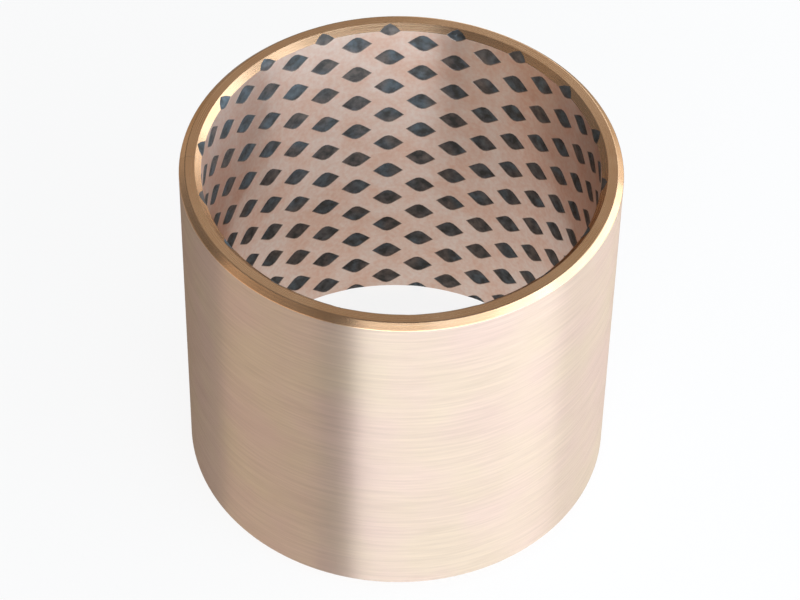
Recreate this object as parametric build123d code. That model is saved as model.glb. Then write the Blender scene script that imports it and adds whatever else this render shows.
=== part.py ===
from build123d import *
from math import sqrt
import os

# Plain bearing bush wrapped from bronze strip, standing on one end.
# Lozenge pockets are pressed into the running face, and each holds a graphite plug.
# The bore runs along +Z. The origin is the middle of the lower end face. Millimetres.

# Driving dimensions
bore_radius = 22.5
outside_radius = 25.0
length = 45.0
end_chamfer = 0.7
butt_gap = 0.06

# Pockets: staggered rows, each row half a step round from the one above
rows = 20
plugs_per_row = 18
row_spacing = 2.35
first_plug_angle = 4.24
pocket_width = 3.6
pocket_height = 2.8
pocket_depth = 0.7
plug_recess = 0.005

# Worked out from the driving dimensions
plug_step = 360 / plugs_per_row
butt_angle = first_plug_angle + 8.75 * plug_step
top_row_height = (length + (rows - 1) * row_spacing) / 2
mouth_radius = sqrt(bore_radius**2 - (pocket_width / 2) ** 2)
point_radius = bore_radius + pocket_depth
plug_face_radius = bore_radius + plug_recess
cutter_overrun = 0.05


def plain_ring():
    """The strip rolled round and turned: a tube with both edges of both ends broken."""
    wall = outside_radius - bore_radius
    section = Pos(bore_radius + wall / 2, length / 2) * Rectangle(wall, length)
    section = chamfer(section.vertices(), end_chamfer)
    return revolve(Plane.XZ * section, Axis.Z).solid()


def butt_joint():
    """The hairline between the two ends of the strip, full height and through the wall."""
    slit = Box(2 * outside_radius, butt_gap, 3 * length, align=(Align.MIN, Align.CENTER, Align.CENTER))
    return Rot(Z=butt_angle) * slit


def lozenge_point(face_radius):
    """A four-sided point, aimed outwards along +X, with its lozenge face at face_radius.

    Its sides lie in the four walls of a pocket whatever the face's radius. The pocket has
    its full width where its side corners reach the bore.
    """
    scale = (point_radius - face_radius) / (point_radius - mouth_radius)
    across = scale * pocket_width / 2
    up = scale * pocket_height / 2
    corners = [Vector(face_radius, y, z) for y, z in [(across, 0), (0, up), (-across, 0), (0, -up)]]
    point = Vector(point_radius, 0, 0)
    sides = [Face(Wire.make_polygon([a, b, point])) for a, b in zip(corners, corners[1:] + corners[:1])]
    return Solid(Shell([Face(Wire.make_polygon(corners)), *sides]))


def row_height(row):
    """Height of the middle of a row. Row 1 is the top one."""
    return top_row_height - (row - 1) * row_spacing


def places(row):
    """Where the pockets of a row lie: level with its middle, and turned about the bore."""
    start = first_plug_angle + (plug_step / 2 if row % 2 else 0)
    return [Pos(Z=row_height(row)) * Rot(Z=start + n * plug_step) for n in range(plugs_per_row)]


def bushing_shell():
    """The bronze: the ring with its butt joint and all its pockets."""
    cutter = lozenge_point(mouth_radius - cutter_overrun)
    pockets = [place * cutter for row in range(1, rows + 1) for place in places(row)]
    return plain_ring().cut(butt_joint(), *pockets)


def whole_plug():
    """One plug, filling its pocket level with the bore."""
    return lozenge_point(plug_face_radius)


def top_plug():
    """A plug of the top row. The end chamfer has taken its upper half."""
    chamfer_start = length - end_chamfer - row_height(1)
    chamfer_plane = Plane(
        origin=(plug_face_radius, 0, chamfer_start),
        x_dir=(0, 1, 0),
        z_dir=(-1, 0, 1),
    )
    return split(whole_plug(), bisect_by=chamfer_plane, keep=Keep.BOTTOM).solid()


def graphite_row(row):
    """The plugs of one row. The bottom row is the top row upside down."""
    if row == 1:
        plug = top_plug()
    elif row == rows:
        plug = mirror(top_plug(), Plane.XY).solid()
    else:
        plug = whole_plug()
    return Compound(children=[place * plug for place in places(row)])


os.makedirs("parts", exist_ok=True)
export_step(bushing_shell(), "parts/bushing_shell.step")
for row in range(1, rows + 1):
    export_step(graphite_row(row), f"parts/graphite_row_{row:02d}.step")
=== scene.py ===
# %% [markdown]
# # A bronze bush with graphite plugs
# This lesson dresses a plain bearing bush: a bronze strip, pressed with lozenge pockets,
# rolled round into a tube and turned at its ends. Each pocket holds a small graphite plug,
# which is the bearing's dry lubricant. The CAD model gives the sizes and stands behind
# everything as a fixed frame, so each piece is made where the frame says it is.

# %% Load the frame
import math

import bmesh
import bpy
from mathutils import Matrix, Vector


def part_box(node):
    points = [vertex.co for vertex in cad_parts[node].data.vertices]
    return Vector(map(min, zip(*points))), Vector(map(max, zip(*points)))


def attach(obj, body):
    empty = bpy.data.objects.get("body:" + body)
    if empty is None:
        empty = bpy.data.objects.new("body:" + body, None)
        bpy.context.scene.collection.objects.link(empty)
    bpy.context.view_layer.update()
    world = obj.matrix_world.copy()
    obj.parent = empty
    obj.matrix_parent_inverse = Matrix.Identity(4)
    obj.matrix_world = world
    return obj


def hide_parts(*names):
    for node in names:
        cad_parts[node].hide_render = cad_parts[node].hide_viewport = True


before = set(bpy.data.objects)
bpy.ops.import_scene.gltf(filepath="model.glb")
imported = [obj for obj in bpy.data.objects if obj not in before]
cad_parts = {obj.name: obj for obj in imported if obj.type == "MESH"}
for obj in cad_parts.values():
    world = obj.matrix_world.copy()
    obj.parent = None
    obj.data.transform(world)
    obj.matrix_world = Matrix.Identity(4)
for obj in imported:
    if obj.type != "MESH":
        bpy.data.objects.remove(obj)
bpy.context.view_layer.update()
print("nodes in the frame:", len(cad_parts))

# %% [markdown]
# The outside sizes are read from the frame. The bore, the end chamfer and the pattern of
# pockets are the maker's own numbers, so they are named here once, in millimetres, and
# turned into metres. A column is one pocket wide: the pockets of one column lie a whole
# pitch apart, and the next column is half a pitch higher. The angle of the first column
# puts the joint between the strip's two ends, half a column before it, close to -X.

# %% Sizes
mm = 0.001
low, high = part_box("bushing_shell")
length = high[2] - low[2]
outside_radius = (high[1] - low[1]) / 2
bore_radius = 22.5 * mm
wall = outside_radius - bore_radius
chamfer = 0.7 * mm

columns = 36
rows = 20
pitch = 4.7 * mm
lowest_row = (length - (rows - 1) * pitch / 2) / 2
column_width = 2 * math.pi * bore_radius / columns
first_column_angle = math.radians(-175.76)
sizes_mm = [round(size / mm, 3) for size in (length, 2 * outside_radius, 2 * bore_radius)]
print("length, outside, bore in mm:", sizes_mm)

# %% [markdown]
# ## The mouth of a pocket
# A punch with a lozenge point leaves a mouth with two sharp side corners, straight sides
# and two blunt corners. A quarter of that outline is five points, given as shares of the
# half width and half height. Going round with them gives all sixteen, which are enough,
# because a pocket is only a few millimetres long and there are 360 of them.

# %% Outline of a whole pocket
half_wide = 1.86 * mm
half_high = 1.27 * mm
quarter = [(0, 1), (0.25, 0.90), (0.52, 0.60), (0.77, 0.29), (1, 0)]


def lozenge():
    """Points (across, up) round a pocket's middle, from its bottom corner towards +X."""
    right_low = [(across, -up) for across, up in quarter]
    right_high = [(across, up) for across, up in quarter[-2::-1]]
    right = right_low + right_high
    left = [(-across, up) for across, up in right[-2:0:-1]]
    return [(across * half_wide, up * half_high) for across, up in right + left]


print("mouth in mm:", 2 * half_wide / mm, "x", 2 * half_high / mm, "with", len(lozenge()), "points")

# %% [markdown]
# The pockets of the two end rows are cut through by the chamfer, which was turned after
# they were pressed. A pocket gets narrower as it gets deeper, so the deeper the chamfer
# cuts, the smaller the lozenge that is left at that level: what remains is a kite that
# points at the end of the bush. Its widest place is on the line where the chamfer meets
# the bore. Its outline is worked out at a few heights, which lie closer together towards
# its blunt corner.

# %% Outline of a pocket cut by the chamfer
pocket_depth = 0.7 * mm
kite_heights = [height * mm for height in (0.062, 0.3, 0.7, 1.0, 1.22, 1.37, 1.445)]


def share_across(share_up):
    """The quarter outline read as a width for a height, both as shares."""
    for (wide_a, high_a), (wide_b, high_b) in zip(quarter, quarter[1:]):
        if share_up >= high_b:
            return wide_a + (wide_b - wide_a) * (high_a - min(share_up, high_a)) / (high_a - high_b)


def kite():
    """Points (across, height above the end face), from the lowest point towards +X."""
    side = []
    for height in kite_heights:
        left = 1 - max(0, chamfer - height) / pocket_depth
        off = abs(height - lowest_row) / (half_high * left)
        side.append((half_wide * left * share_across(off), height))
    side[0] = (0, side[0][1])
    side[-1] = (0, side[-1][1])
    return side + [(-across, height) for across, height in side[-2:0:-1]]


one_side = kite()[:len(kite_heights)]
print("kite in mm:", [(round(across / mm, 2), round(height / mm, 2)) for across, height in one_side])

# %% [markdown]
# ## The running face, flat
# The real strip is pressed while it is flat and rolled afterwards, and the same order is
# the easy one here. X runs along the strip, Z up it, and Y into the metal. One cell is a
# rectangle of grid whose inner edges are dissolved, so that it is a single face with
# points all round: as many as the outline has, which is sixteen for a lozenge and twelve
# for a kite. Insetting that face gives the ring of bronze round a pocket and the mouth
# itself, whose corners are then put on the outline.

# %% One cell of the strip
steps_across = 4
narrow_ring = 0.02 * mm


def blank_cell(bm, middle_height, tall, steps_up):
    """A flat cell on the middle line, with a face of its own and points along its border."""
    place = Matrix.Translation((0, 0, middle_height)) @ Matrix.Rotation(math.pi / 2, 4, "X")
    place = place @ Matrix.Diagonal((column_width, tall, 1, 1))
    grid = bmesh.ops.create_grid(
        bm, x_segments=steps_across, y_segments=steps_up, size=0.5, matrix=place
    )
    faces = list(dict.fromkeys(f for v in grid["verts"] for f in v.link_faces))
    return bmesh.ops.dissolve_faces(bm, faces=faces)["region"][0]


def inset(bm, face, ring_width):
    """Makes a face smaller inside a ring of new faces, and returns the ring."""
    return bmesh.ops.inset_individual(
        bm, faces=[face], thickness=ring_width, use_even_offset=False
    )["faces"]


def going_round(face):
    """The corners of a face on the middle line, from the lowest middle one towards +X."""
    corners = list(face.verts)
    middle = face.calc_center_median().z
    start = min(
        range(len(corners)),
        key=lambda i: (corners[i].co.z > middle, abs(corners[i].co.x)),
    )
    corners = corners[start:] + corners[:start]
    if corners[1].co.x < 0:
        corners = corners[:1] + corners[:0:-1]
    return corners


def open_mouth(bm, cell, outline, height):
    """Insets a cell and puts the inner face's corners on the outline of the mouth."""
    inset(bm, cell, narrow_ring)
    for corner, (across, up) in zip(going_round(cell), outline):
        corner.co = (across, 0, height + up)
    return cell


print("a whole cell in mm:", round(column_width / mm, 3), "x", round(pitch / mm, 3))

# %% [markdown]
# A column is a kite at the bottom and nine whole pockets above it. The points halfway up
# the lowest cell are moved to where the next column has points, so that the two can be
# sewn together. The ring round the mouths is cut along the lines where the chamfers will
# start, and everything beyond those lines is moved into the metal: that is the chamfer.

# %% A column of pockets
near = 0.01 * mm
on_the_line = 0.001 * mm


def press_column(bm):
    """One column on the middle line, from the bottom end of the strip to its top end."""
    foot_top = lowest_row + pitch / 2
    foot = blank_cell(bm, foot_top / 2, foot_top, steps_up=2)
    for vert in foot.verts:
        if abs(vert.co.z - foot_top / 2) < near:
            vert.co.z = lowest_row + pitch / 4
    mouths = [open_mouth(bm, foot, kite(), 0)]
    for n in range(1, rows // 2):
        height = lowest_row + n * pitch
        cell = blank_cell(bm, height, pitch, steps_up=4)
        for vert in cell.verts:
            if vert.co.z > length - lowest_row - near:
                vert.co.z = length
        mouths.append(open_mouth(bm, cell, lozenge(), height))
    return mouths


def cut_chamfer_lines(bm, mouths):
    """Cuts the rings round the mouths along the lines where the chamfers start."""
    for height in (chamfer, length - chamfer):
        rings = [f for f in bm.faces if f not in mouths]
        around = list(dict.fromkeys(part for f in rings for part in [*f.verts, *f.edges]))
        bmesh.ops.bisect_plane(
            bm, geom=rings + around, dist=on_the_line,
            plane_co=(0, 0, height), plane_no=(0, 0, 1),
        )


def end_depth(height):
    """How far the chamfers move the surface into the metal at a height."""
    return max(0, chamfer - height, height - (length - chamfer))


strip = bmesh.new()
mouths = press_column(strip)
cut_chamfer_lines(strip, mouths)
for vert in strip.verts:
    vert.co.y = end_depth(vert.co.z)
print("one column:", len(mouths), "mouths,", len(strip.faces), "faces")

# %% [markdown]
# A punch drags a little metal down with it, so each mouth has a shallow lip, a hair lower
# than the running face, before the walls go down to a point. The lip and the walls are
# stained by graphite, so they get a finish of their own. The four finishes are numbered
# here in the order in which they will be put on the strip.

# %% Sink the pockets
FACE, ENDS, OUTSIDE, POCKET = range(4)
lip_depth = 0.012 * mm
lip_narrowing = 0.975


def sink_pocket(bm, mouth):
    """Gives a mouth its pressed lip and brings its walls down to a point."""
    whole = len(mouth.verts) == len(lozenge())
    middle = mouth.calc_center_median()
    point = Vector((0, pocket_depth, middle.z if whole else lowest_row))
    narrowed = [middle + (v.co - middle) * lip_narrowing for v in going_round(mouth)]
    lip = inset(bm, mouth, narrow_ring)
    for corner, place in zip(going_round(mouth), narrowed):
        corner.co = (place.x, place.y + lip_depth, place.z)
    walls = bmesh.ops.poke(bm, faces=[mouth])
    walls["verts"][0].co = point
    for face in lip + walls["faces"]:
        face.material_index = POCKET


for mouth in mouths:
    sink_pocket(strip, mouth)
print("one column with its pockets sunk:", len(strip.faces), "faces")

# %% [markdown]
# The next column of the pattern is the same column turned upside down. The column and
# this twin make one repeat, and eighteen repeats make the whole strip. Merging by
# distance sews the cells together.

# %% The whole running face
seam = 0.002 * mm
half_turn = Matrix.Rotation(math.pi, 3, "Y")


def copy_of(bm, geometry):
    """Duplicates geometry and returns the new corner points."""
    made = bmesh.ops.duplicate(bm, geom=geometry)["geom"]
    return [part for part in made if isinstance(part, bmesh.types.BMVert)]


def everything(bm):
    """All points, edges and faces."""
    return bm.verts[:] + bm.edges[:] + bm.faces[:]


def repeat_along(bm, first_column):
    """Repeats what there is at every second column, from a column counted from 0."""
    first = everything(bm)
    for n in range(1, columns // 2):
        bmesh.ops.translate(bm, verts=copy_of(bm, first), vec=(2 * n * column_width, 0, 0))
    shift = (first_column - (columns - 1) / 2) * column_width
    bmesh.ops.translate(bm, verts=bm.verts[:], vec=(shift, 0, 0))


twin = copy_of(strip, everything(strip))
bmesh.ops.rotate(strip, verts=twin, cent=(column_width / 2, 0, length / 2), matrix=half_turn)
repeat_along(strip, 0)
bmesh.ops.remove_doubles(strip, verts=strip.verts[:], dist=seam)
print("running face:", len(strip.faces), "faces")

# %% [markdown]
# ## The back of the strip and its ends
# The rest of the strip is drawn out of the border of the running face: along the end
# face, down the outer chamfer, and up the whole outside, where it meets the top. The two
# short ends are filled, which makes the strip a closed solid. The outer corners are
# turned, so they get a tiny bevel that catches the light as a real broken edge does.

# %% Close the strip
broken_edge = 0.07 * mm


def lie_at(edge, **place):
    """Whether both ends of an edge lie at the x, y or z that is given."""
    return all(
        abs(getattr(vert.co, axis) - value) < near
        for vert in edge.verts for axis, value in place.items()
    )


def border(bm, height):
    """The open edges of the strip that lie at a height."""
    return [e for e in bm.edges if e.is_boundary and lie_at(e, z=height)]


def draw_out(bm, edges, y, z, finish):
    """Extrudes a line of edges to a new depth and height, and returns the new edges."""
    made = bmesh.ops.extrude_edge_only(bm, edges=edges)["geom"]
    for part in made:
        if isinstance(part, bmesh.types.BMVert):
            part.co.y, part.co.z = y, z
        elif isinstance(part, bmesh.types.BMFace):
            part.material_index = finish
    new_edges = [part for part in made if isinstance(part, bmesh.types.BMEdge)]
    return [e for e in new_edges if e.is_boundary and lie_at(e, y=y, z=z)]


for face in strip.faces:
    if face.material_index != POCKET and any(end_depth(v.co.z) > near for v in face.verts):
        face.material_index = ENDS
bottom, top = border(strip, 0), border(strip, length)
bottom = draw_out(strip, bottom, wall - chamfer, 0, ENDS)
top = draw_out(strip, top, wall - chamfer, length, ENDS)
bottom = draw_out(strip, bottom, wall, chamfer, ENDS)
top = draw_out(strip, top, wall, length - chamfer, ENDS)
draw_out(strip, bottom, wall, length - chamfer, OUTSIDE)
bmesh.ops.remove_doubles(strip, verts=strip.verts[:], dist=seam)
open_edges = [e for e in strip.edges if e.is_boundary]
for face in bmesh.ops.holes_fill(strip, edges=open_edges, sides=0)["faces"]:
    face.material_index = FACE
corner_lines = ((wall - chamfer, 0), (wall - chamfer, length), (wall, chamfer), (wall, length - chamfer))
corners = [e for e in strip.edges if any(lie_at(e, y=y, z=z) for y, z in corner_lines)]
bmesh.ops.bevel(
    strip, geom=corners, offset=broken_edge, offset_type="OFFSET", segments=2, profile=0.5,
    affect="EDGES", material=-1, clamp_overlap=False,
)
print("strip:", len(strip.faces), "faces,", len(corners), "edges broken")

# %% [markdown]
# ## Rolling
# Rolling the strip is one rule for every point: its distance along the strip becomes an
# angle, and its depth is added to the bore's radius. The strip is cut a hair short, so
# that the two ends meet with the fine butt joint that every wrapped bush has.

# %% Roll the strip round
butt_gap = 0.03 * mm
sharp_angle = math.radians(10)


def roll(bm):
    """Bends everything round the bore's axis."""
    short = 1 - butt_gap / (columns * column_width)
    start = first_column_angle + (columns - 1) / 2 * column_width / bore_radius
    for vert in bm.verts:
        angle = start + short * vert.co.x / bore_radius
        radius = bore_radius + vert.co.y
        vert.co.x, vert.co.y = radius * math.cos(angle), radius * math.sin(angle)


def finish_mesh(bm, name):
    """Makes an object with sharp edges marked. Also returns its volume and open edges."""
    # Known fault: the faces' directions are worked out from normals that are still those
    # of the flat strip, so the shell and about half of the plugs face inwards.
    bmesh.ops.recalc_face_normals(bm, faces=bm.faces[:])
    for face in bm.faces:
        face.smooth = True
    for edge in bm.edges:
        edge.smooth = edge.calc_face_angle(0) < sharp_angle
    volume = bm.calc_volume() / mm ** 3
    loose = len([e for e in bm.edges if not e.is_manifold])
    mesh = bpy.data.meshes.new(name)
    bm.to_mesh(mesh)
    bm.free()
    piece = bpy.data.objects.new(name, mesh)
    bpy.context.scene.collection.objects.link(piece)
    return piece, volume, loose


roll(strip)
shell, volume, loose = finish_mesh(strip, "bronze_shell")
print("shell:", len(shell.data.polygons), "faces,", round(volume, 1), "mm3, open edges:", loose)
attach(shell, "root")
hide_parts("bushing_shell")

# %% [markdown]
# ## The graphite plugs
# A plug has the shape of its pocket, so its corners are found by going down the pocket's
# walls from the mouth towards the point. Its face is a little below the running face and
# has two rings of points inside its rim, so that its edge is rounded and the face can
# follow the bore's curve when it is rolled. The walls come to one point, a hair short of
# the pocket's own.

# %% One plug
plug_recess = 0.013 * mm
plug_rounding = 0.012 * mm
plug_narrowing = 0.97
plug_depth = pocket_depth - near
rings_inwards = (0.02, 0.5)


def plug(bm, outline, foot_height, face_middle):
    """A closed plug on the middle line. Its outline is the mouth of its pocket."""
    point = Vector((0, plug_depth, foot_height))
    rim = bmesh.ops.create_circle(
        bm, cap_ends=True, cap_tris=False, segments=len(outline), radius=1
    )["verts"]
    for vert, (across, height) in zip(rim, outline):
        place = Vector((across, end_depth(height), height))
        narrowed = face_middle + (place - face_middle) * plug_narrowing
        vert.co = narrowed.lerp(point, (plug_recess + plug_rounding) / pocket_depth)
    face = rim[0].link_faces[0]
    for inwards in rings_inwards:
        inset(bm, face, near)
        for corner in face.verts:
            corner.co = corner.co.lerp(face_middle, inwards)
            corner.co.y = end_depth(corner.co.z) + plug_recess
    middle = bmesh.ops.poke(bm, faces=[face])["verts"][0]
    middle.co = (face_middle.x, end_depth(face_middle.z) + plug_recess, face_middle.z)
    open_edges = [e for e in bm.edges if e.is_boundary]
    walls = bmesh.ops.extrude_edge_only(bm, edges=open_edges)["geom"]
    tips = [part for part in walls if isinstance(part, bmesh.types.BMVert)]
    bmesh.ops.pointmerge(bm, verts=tips, merge_co=point)


print("plug faces lie", round(plug_recess / mm, 3), "mm below the running face")

# %% [markdown]
# A row is eighteen copies of one plug, at every second column, and the next row lies half
# a pitch lower in the columns between. The plugs of the two end rows are cut by the
# chamfer, so they are kites, and the top one is the bottom one turned upside down. A row
# could be eighteen objects, but it is one piece, as in the frame. It is rolled by the
# same rule as the strip, so each plug lands in its pocket.

# %% Rows of plugs
kite_middle = 0.8 * mm


def row_of_plugs(row):
    """Builds row 1 to 20, counted from the top, and hides the frame's solids for it."""
    bm = bmesh.new()
    height = lowest_row + (rows - row) * pitch / 2
    if row in (1, rows):
        plug(bm, kite(), lowest_row, Vector((0, 0, kite_middle)))
    else:
        outline = [(across, height + up) for across, up in lozenge()]
        plug(bm, outline, height, Vector((0, 0, height)))
    if row == 1:
        bmesh.ops.rotate(bm, verts=bm.verts[:], cent=(0, 0, length / 2), matrix=half_turn)
    repeat_along(bm, row % 2)
    roll(bm)
    piece, volume, loose = finish_mesh(bm, f"graphite_plugs_row_{row:02d}")
    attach(piece, "root")
    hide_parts(f"graphite_row_{row:02d}")
    return piece, volume, loose


# The volume is too small, because plugs that face inwards are taken away from the rest.
plugs, volumes, loose = zip(*[row_of_plugs(row) for row in range(1, rows + 1)])
print("plugs:", len(plugs), "rows,", round(sum(volumes), 1), "mm3, open edges:", sum(loose))

# %% [markdown]
# ## Bronze
# Bronze is one metal, but each way of working it leaves another skin: ground outside,
# turned at the ends, pressed and rolled on the running face. One material could mix all
# three by place, but four short ones on the strip's own material slots are easier to
# read and to change. First come a few helpers, because a node tree written out in full
# hides what it does.

# %% Node helpers
def fill(target, inputs):
    """Fills a node's inputs. Each is a value, or another node's output to link."""
    for name, value in inputs.items():
        if isinstance(value, bpy.types.NodeSocket):
            target.id_data.links.new(value, target.inputs[name])
        else:
            target.inputs[name].default_value = value


def node(material, kind, inputs=None, **settings):
    """Adds a node with its settings and inputs."""
    made = material.node_tree.nodes.new(kind)
    for name, value in settings.items():
        setattr(made, name, value)
    fill(made, inputs or {})
    return made


def new_material(name):
    """An empty material, with the shader that its recipe will fill and its output."""
    material = bpy.data.materials.new(name)
    material.use_nodes = True
    material.node_tree.nodes.clear()
    shader = node(material, "ShaderNodeBsdfPrincipled")
    output = node(material, "ShaderNodeOutputMaterial", {"Surface": shader.outputs["BSDF"]})
    return material, shader, output


def scaled(material, value, by, plus=0.0):
    """A value times by, plus another."""
    inputs = {0: value, 1: by, 2: plus}
    return node(material, "ShaderNodeMath", inputs, operation="MULTIPLY_ADD").outputs[0]


def mixed(material, factor, first, second):
    """A colour between two. A Mix node has them at 6 and 7, and its result at 2."""
    inputs = {0: factor, 6: first, 7: second}
    return node(material, "ShaderNodeMix", inputs, data_type="RGBA").outputs[2]


def vector(material, operation, *inputs):
    """The vector that a Vector Math node makes."""
    made = node(material, "ShaderNodeVectorMath", dict(enumerate(inputs)), operation=operation)
    return made.outputs["Vector"]


def noise(material, where, scale, detail):
    """Noise from 0 to 1."""
    inputs = {"Vector": where, "Scale": scale, "Detail": detail}
    return node(material, "ShaderNodeTexNoise", inputs).outputs["Fac"]


def stretched(material, value, low, high):
    """Spreads the part of a noise between low and high over 0 to 1."""
    return node(material, "ShaderNodeMapRange", {0: value, 1: low, 2: high}).outputs[0]


def patches(material, here, size, low, high, detail=3.0):
    """Soft patches from 0 to 1, of a size in metres."""
    return stretched(material, noise(material, here, 1 / size, detail), low, high)


helpers = (fill, node, new_material, scaled, mixed, vector, noise, stretched, patches)
print("helpers:", [helper.__name__ for helper in helpers])

# %% [markdown]
# Tool marks run round the axis on every turned face. Noise that is stretched along a
# face's width and squeezed across the marks gives them: the coordinate across the marks
# is the height on a wall, and the radius on an end face, so height plus part of the
# radius serves both and the chamfers too. The same idea gives the direction in which the
# metal smears a reflection: round the axis, which is the cross product of Z and the place.

# %% Marks and directions
part_of_radius = 0.6
quarter_turn = 0.25


def places(material):
    """Object coordinates, their three parts and the distance from the axis."""
    here = node(material, "ShaderNodeTexCoord").outputs["Object"]
    x, y, z = node(material, "ShaderNodeSeparateXYZ", {0: here}).outputs
    flat = node(material, "ShaderNodeCombineXYZ", {0: x, 1: y}).outputs[0]
    radius = node(material, "ShaderNodeVectorMath", {0: flat}, operation="LENGTH").outputs["Value"]
    return here, (x, y, z, radius)


def tool_marks(material, parts, wide, long, detail=2.0):
    """Noise in long thin streaks round the axis. Their width and length are in metres."""
    x, y, z, radius = parts
    across = scaled(material, radius, by=part_of_radius, plus=z)
    squeezed = node(material, "ShaderNodeCombineXYZ", {
        0: scaled(material, x, by=1 / long),
        1: scaled(material, y, by=1 / long),
        2: scaled(material, across, by=1 / wide),
    })
    return noise(material, squeezed.outputs[0], 1.0, detail)


def smear_across_marks(material, shader, here, amount):
    """Smears reflections across marks that run round the axis, by 0 to 1."""
    fill(shader, {
        "Tangent": vector(material, "CROSS_PRODUCT", (0, 0, 1), here),
        "Anisotropic": amount,
        "Anisotropic Rotation": quarter_turn,
    })


def tilted_by_marks(material, marks, slope):
    """The surface's direction, tipped up or down the axis by fine marks of a given slope."""
    outward = node(material, "ShaderNodeNewGeometry").outputs["Normal"]
    tip = scaled(material, marks, by=slope, plus=-slope / 2)
    along_axis = node(material, "ShaderNodeCombineXYZ", {2: tip}).outputs[0]
    tipped = vector(material, "ADD", outward, along_axis)
    return vector(material, "NORMALIZE", tipped)


def bumped(material, height, depth, **direction):
    """The surface's direction with marks of a depth in metres in it."""
    inputs = {"Height": height, "Distance": depth, **direction}
    return node(material, "ShaderNodeBump", inputs).outputs[0]


print("a mark's place is its height plus", part_of_radius, "of its radius")

# %% [markdown]
# The outside was ground round and round. Its marks are far finer than a hair, and each
# tips the light up or down the bush but never sideways, so a lamp shows as an upright
# panel with sharp edges and no top or bottom. Blur alone would soften those edges too.
# So the blur is fully one-way, and marks of 0.003 mm tip the surface's direction along
# the axis. Broader streaks give the uneven tone that a grinding belt leaves. The edge
# tint is painted shade: it darkens the metal where it is seen along its surface, far
# more than marks that hide each other would.

# %% The ground outside
def ground_bronze():
    """Pale bronze with grinding marks round the axis."""
    pink, cream, dull = (0.72, 0.54, 0.45, 1), (0.72, 0.57, 0.435, 1), (0.46, 0.33, 0.26, 1)
    material, shader, _ = new_material("ground_bronze")
    here, parts = places(material)
    hair = tool_marks(material, parts, wide=0.003 * mm, long=2 * mm, detail=0.0)
    fine = tool_marks(material, parts, wide=0.12 * mm, long=9 * mm)
    belt = tool_marks(material, parts, wide=0.3 * mm, long=7 * mm)
    broad = tool_marks(material, parts, wide=0.7 * mm, long=25 * mm)
    cloud = patches(material, here, size=9 * mm, low=0.35, high=0.65)
    clean = mixed(material, cloud, pink, cream)
    brushed = scaled(material, stretched(material, belt, low=0.3, high=0.7), by=0.30)
    tipped = tilted_by_marks(material, hair, slope=1.4)
    fill(shader, {
        "Base Color": mixed(material, brushed, clean, dull),
        "Metallic": 1.0,
        # painted shade: this tint darkens the metal where it is seen along its surface
        "Specular Tint": (0.28, 0.20, 0.12, 1),
        "Roughness": scaled(material, broad, by=0.06, plus=0.42),
        "Normal": bumped(material, fine, 0.009 * mm, Normal=tipped),
    })
    smear_across_marks(material, shader, here, 1.0)
    return material


ground = ground_bronze()
print(ground.name, "has", len(ground.node_tree.nodes), "nodes")

# %% [markdown]
# The end faces and chamfers were turned on a lathe after rolling, so they are browner
# and shinier, with coarser rings. Plain polish would make them mirrors that vanish
# against a pale floor, so the rings also vary the gloss, and the edge tint is the same
# painted shade as on the outside, where the metal is seen along its surface.

# %% The turned ends
def turned_bronze():
    """Brown, glossier bronze with turning marks."""
    brown, gold = (0.66, 0.39, 0.22, 1), (0.72, 0.45, 0.27, 1)
    material, shader, _ = new_material("turned_bronze")
    here, parts = places(material)
    fine = tool_marks(material, parts, wide=0.08 * mm, long=14 * mm)
    cloud = patches(material, here, size=6 * mm, low=0.35, high=0.65)
    fill(shader, {
        "Base Color": mixed(material, cloud, brown, gold),
        "Metallic": 1.0,
        # painted shade: this tint darkens the metal where it is seen along its surface
        "Specular Tint": (0.26, 0.25, 0.24, 1),
        "Roughness": scaled(material, fine, by=0.14, plus=0.19),
        "Normal": bumped(material, fine, 0.003 * mm),
    })
    smear_across_marks(material, shader, here, 0.7)
    return material


turned = turned_bronze()
print(turned.name, "has", len(turned.node_tree.nodes), "nodes")

# %% [markdown]
# The running face was only pressed and rolled. It is satin, pink where it is clean and
# creamy where it has been handled, with freckles of half a millimetre. The rolls drew it
# out round the bush, so it smears light up and down as the outside does, but less
# cleanly, and needs no extra marks. The same recipe in darker tones makes the walls and
# lips of the pockets, where graphite has stained the metal.

# %% The pressed running face
def pressed_bronze(name, clean, handled):
    """Satin bronze that varies between two colours."""
    material, shader, _ = new_material(name)
    here, parts = places(material)
    fine = tool_marks(material, parts, wide=0.25 * mm, long=5 * mm)
    cloud = patches(material, here, size=4.5 * mm, low=0.38, high=0.62)
    freckles = patches(material, here, size=0.5 * mm, low=0.35, high=0.65)
    uneven = scaled(material, freckles, by=0.45, plus=scaled(material, cloud, by=0.55))
    fill(shader, {
        "Base Color": mixed(material, uneven, clean, handled),
        "Metallic": 1.0,
        "Roughness": scaled(material, fine, by=0.08, plus=0.31),
        "Normal": bumped(material, fine, 0.004 * mm),
    })
    smear_across_marks(material, shader, here, 1.0)
    return material


running = pressed_bronze("running_bronze", (0.77, 0.505, 0.385, 1), (0.85, 0.70, 0.61, 1))
pocket = pressed_bronze("pocket_bronze", (0.30, 0.22, 0.18, 1), (0.42, 0.31, 0.25, 1))
for finish in (running, turned, ground, pocket):
    shell.data.materials.append(finish)
print("finishes on the shell:", [m.name for m in shell.data.materials])

# %% [markdown]
# ## Graphite
# Pressed graphite is dark grey with a metal-like sheen where the rolls have rubbed it.
# Some plugs lean to blue and some to brown, and each has lighter and darker patches and
# a fine grain. A black plastic would look wrong here, because graphite reflects as a
# dull metal does, so the shader is mostly metallic with a dark colour.

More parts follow.
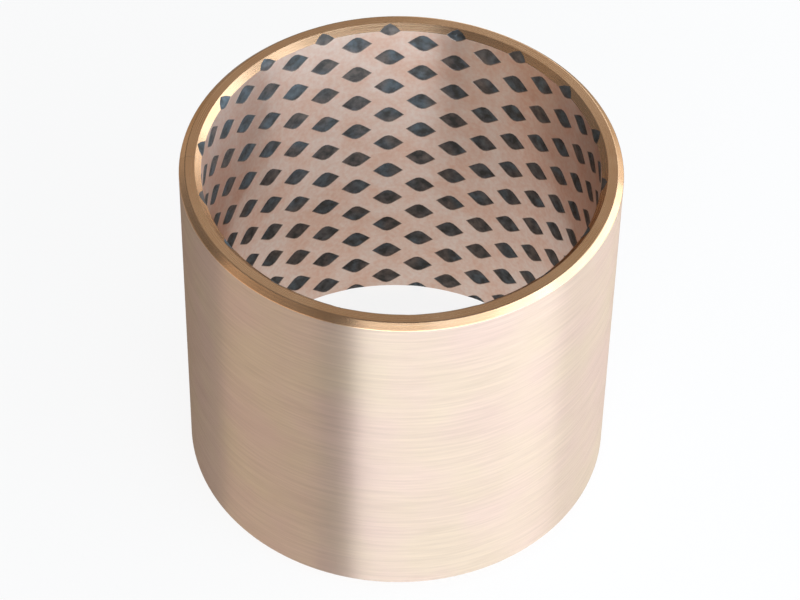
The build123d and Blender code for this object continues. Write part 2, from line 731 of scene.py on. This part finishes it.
# %% Graphite finish
def graphite():
    """Dark, half metallic graphite, rubbed brown or blue."""
    dark, brown, blue = (0.082, 0.080, 0.076, 1), (0.215, 0.180, 0.162, 1), (0.158, 0.190, 0.212, 1)
    material, shader, _ = new_material("graphite")
    here = node(material, "ShaderNodeTexCoord").outputs["Object"]
    grain = noise(material, here, 1 / (0.25 * mm), 3.0)
    cloud = patches(material, here, size=1.1 * mm, low=0.34, high=0.68)
    batch = patches(material, here, size=4 * mm, low=0.40, high=0.60, detail=0.0)
    rubbed = stretched(material, grain, low=0.38, high=0.62)
    fill(shader, {
        "Base Color": mixed(material, cloud, dark, mixed(material, batch, brown, blue)),
        "Metallic": 0.75,
        "Specular Tint": (0.35, 0.35, 0.35, 1),
        "Roughness": scaled(material, rubbed, by=0.20, plus=0.34),
        "Normal": bumped(material, grain, 0.012 * mm),
    })
    smear_across_marks(material, shader, here, 1.0)
    return material


plug_finish = graphite()
for piece in plugs:
    piece.data.materials.append(plug_finish)
print("finish on the plugs:", plug_finish.name, "on", len(plugs), "rows")

# %% [markdown]
# ## The studio
# The bush stands on a plain pale floor. It lies a hair below the end face, because two
# faces in exactly one plane break up into stripes.

# %% Floor
floor_size = 3.0
floor_drop = 0.02 * mm
bm = bmesh.new()
below = Matrix.Translation((0, 0, -floor_drop))
bmesh.ops.create_grid(bm, x_segments=1, y_segments=1, size=floor_size / 2, matrix=below)
floor_mesh = bpy.data.meshes.new("floor")
bm.to_mesh(floor_mesh)
bm.free()
floor = bpy.data.objects.new("floor", floor_mesh)
bpy.context.scene.collection.objects.link(floor)
print("floor in m:", [round(s, 2) for s in floor.dimensions])

# %% [markdown]
# The floor also glows for the camera and for reflections, so that it stays white under
# lamps that are kept at a plain level. The rest of it is an ordinary surface that keeps
# the shadow of the bush. A glow seen by every ray would light the bush from below.

# %% Finish of the floor
glow_share = 0.88


def pale_floor():
    """A white floor that the camera and reflections see as nearly all glow."""
    material, surface, output = new_material("pale_floor")
    fill(surface, {
        "Base Color": (0.9, 0.9, 0.9, 1),
        "Roughness": 0.9,
        "Specular IOR Level": 0.2,
    })
    rays = node(material, "ShaderNodeLightPath").outputs
    seen = rays["Is Camera Ray"]
    for kind in ("Is Glossy Ray", "Is Transmission Ray"):
        inputs = {0: seen, 1: rays[kind]}
        seen = node(material, "ShaderNodeMath", inputs, operation="MAXIMUM").outputs[0]
    glow = node(material, "ShaderNodeEmission", {"Color": (1, 1, 1, 1), "Strength": 1.0})
    blend = node(material, "ShaderNodeMixShader", {
        0: scaled(material, seen, by=glow_share),
        1: surface.outputs[0],
        2: glow.outputs[0],
    })
    fill(output, {"Surface": blend.outputs[0]})
    return material


floor_mesh.materials.append(pale_floor())
print("finish on the floor:", [m.name for m in floor_mesh.materials])

# %% [markdown]
# Metal shows what stands round it, so the lamps are placed for their reflections. Three
# equal soft panels stand edge to edge in front, 31.3 degrees apart, and read as one broad
# panel that is as bright at its ends as in its middle. A single flat panel as wide would
# fade at both ends. Its left end draws the upright line on the ground outside and in the
# bore. A side and a rear panel light the right and the back, a weak warm one fills the
# left, and one behind leans over the bush to light its end face. All of them are dim
# enough for the bronze to keep its colour from every side. Angles are in degrees, sizes
# in metres and power in watts.

# %% Lamps
cool, warm, amber = (0.90, 1.04, 1.17), (1.0, 0.91, 0.76), (1.0, 0.80, 0.58)


def soft_panel(name, azimuth, distance, width, height, middle_height, power, tint, lean=0):
    """A soft lamp that faces the bush, or leans over it by an angle."""
    lamp = bpy.data.lights.new(name, "AREA")
    lamp.shape = "RECTANGLE"
    lamp.size, lamp.size_y = width, height
    lamp.energy = power
    lamp.color = tint
    turn = math.radians(azimuth)
    holder = bpy.data.objects.new(name, lamp)
    holder.location = (distance * math.cos(turn), distance * math.sin(turn), middle_height)
    holder.rotation_euler = (math.radians(90 - lean), 0, turn + math.radians(90))
    bpy.context.scene.collection.objects.link(holder)


for name, azimuth, power in (
    ("key_left", -92.6, 1.22),
    ("key_middle", -61.3, 1.20),
    ("key_right", -30, 1.22),
):
    soft_panel(name, azimuth, 0.45, 0.2525, 0.36, 0.185, power, cool)
soft_panel("side_panel", 11.5, 0.45, 0.45, 0.30, 0.155, 1.30, cool)
soft_panel("fill_panel", -149.5, 0.60, 0.58, 0.30, 0.16, 0.60, amber)
soft_panel("rear_panel", 65, 0.45, 0.42, 0.30, 0.155, 0.75, cool)
soft_panel("back_panel", 90, 0.40, 0.45, 0.30, 0.42, 0.115, warm, lean=45)
print("lamps in W:", {lamp.name: round(lamp.energy, 3) for lamp in bpy.data.lights})

# %% [markdown]
# A little white light from all round fills what the panels leave dark, as the walls of a
# room would. The Standard view shows a colour about as it is written.

# %% Sky and view
sky_strength = 0.19
world = bpy.data.worlds.new("studio")
bpy.context.scene.world = world
world.use_nodes = True
fill(world.node_tree.nodes["Background"], {"Color": (1, 1, 1, 1), "Strength": sky_strength})
bpy.context.scene.view_settings.view_transform = "Standard"
print("sky strength:", sky_strength)

# %% [markdown]
# ## The camera
# It looks down into the bore at about 45 degrees through a long lens, from 38 cm away,
# and is rolled by a hair. A long lens keeps the round ends close to true ellipses.

# %% Camera
lens = bpy.data.cameras.new("camera")
lens.sensor_width = 36.0
lens.lens = 147.1
lens.clip_start = 0.01
camera = bpy.data.objects.new("camera", lens)
camera.location = (0.0, -0.26017, 0.30381)
camera.rotation_euler = [math.radians(turn) for turn in (42.7347, -0.7860, 0.8213)]
bpy.context.scene.collection.objects.link(camera)
bpy.context.scene.camera = camera
away = camera.location - Vector((0, 0, length / 2))
print("camera to the middle of the bush in m:", round(away.length, 3))
